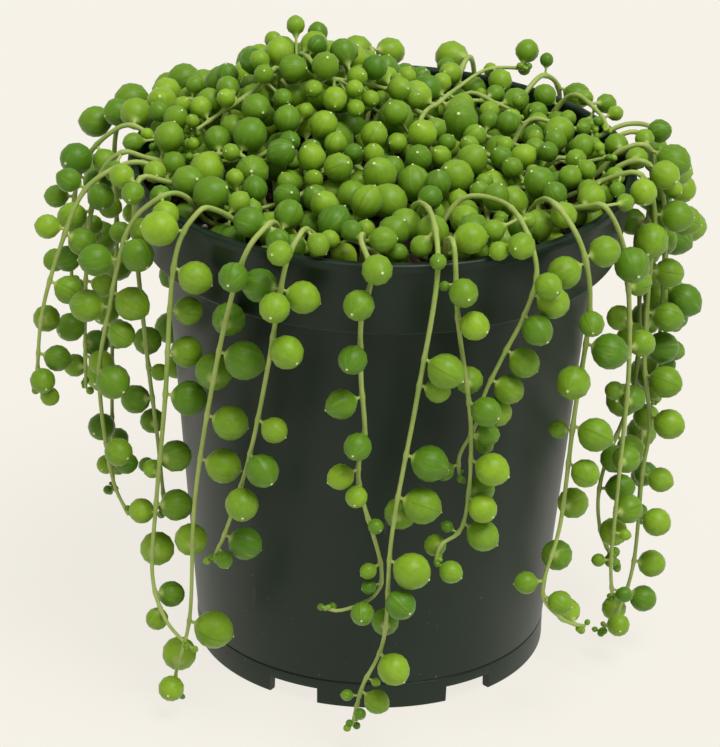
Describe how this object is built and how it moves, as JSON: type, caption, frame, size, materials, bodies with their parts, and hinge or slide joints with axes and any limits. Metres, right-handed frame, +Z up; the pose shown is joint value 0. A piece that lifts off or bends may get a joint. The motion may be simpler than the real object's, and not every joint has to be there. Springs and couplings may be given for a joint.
{
  "type": "potted string of pearls",
  "caption": "Trailing succulent with round bead-like leaves on thin stems, growing over the rim of a dark green round plastic nursery pot filled with soil.",
  "frame": {"origin": "on the ground at the pot's axis, which is also the middle of the whole plant seen from above", "axes": "+Z up along the pot's axis; -Y is the front, the side the picture shows; +X is the viewer's right"},
  "size_m": [0.1479, 0.1375, 0.135],
  "materials": {
    "pot_plastic": "dark green moulded polypropylene, satin, a little shinier on the lip",
    "soil": "peat and bark potting mix, dark brown, rough",
    "leafy_stem": "smooth waxy green leaves with a soft sheen, pale green stems"
  },
  "bodies": {
    "root": {"pot": "pot_plastic", "soil": "soil", "arch_1": "leafy_stem", "arch_10": "leafy_stem", "arch_2": "leafy_stem", "arch_3": "leafy_stem", "arch_4": "leafy_stem", "arch_5": "leafy_stem", "arch_6": "leafy_stem", "arch_7": "leafy_stem", "arch_8": "leafy_stem", "arch_9": "leafy_stem", "creeper_1": "leafy_stem", "creeper_10": "leafy_stem", "creeper_11": "leafy_stem", "creeper_12": "leafy_stem", "creeper_13": "leafy_stem", "creeper_14": "leafy_stem", "creeper_2": "leafy_stem", "creeper_3": "leafy_stem", "creeper_4": "leafy_stem", "creeper_5": "leafy_stem", "creeper_6": "leafy_stem", "creeper_7": "leafy_stem", "creeper_8": "leafy_stem", "creeper_9": "leafy_stem", "trailing_back_1": "leafy_stem", "trailing_back_10": "leafy_stem", "trailing_back_11": "leafy_stem", "trailing_back_3": "leafy_stem", "trailing_back_5": "leafy_stem", "trailing_back_6": "leafy_stem", "trailing_back_7": "leafy_stem", "trailing_back_8": "leafy_stem", "trailing_back_9": "leafy_stem", "trailing_front_1": "leafy_stem", "trailing_front_2": "leafy_stem", "trailing_front_3": "leafy_stem", "trailing_front_4": "leafy_stem", "trailing_front_5": "leafy_stem", "trailing_front_6": "leafy_stem", "trailing_front_7": "leafy_stem", "trailing_front_8": "leafy_stem", "trailing_left_1": "leafy_stem", "trailing_left_2": "leafy_stem", "trailing_left_3": "leafy_stem", "trailing_left_4": "leafy_stem", "trailing_left_5": "leafy_stem", "trailing_right_1": "leafy_stem", "trailing_right_2": "leafy_stem", "trailing_right_3": "leafy_stem", "trailing_right_4": "leafy_stem", "trailing_right_5": "leafy_stem"}
  },
  "joints": []
}
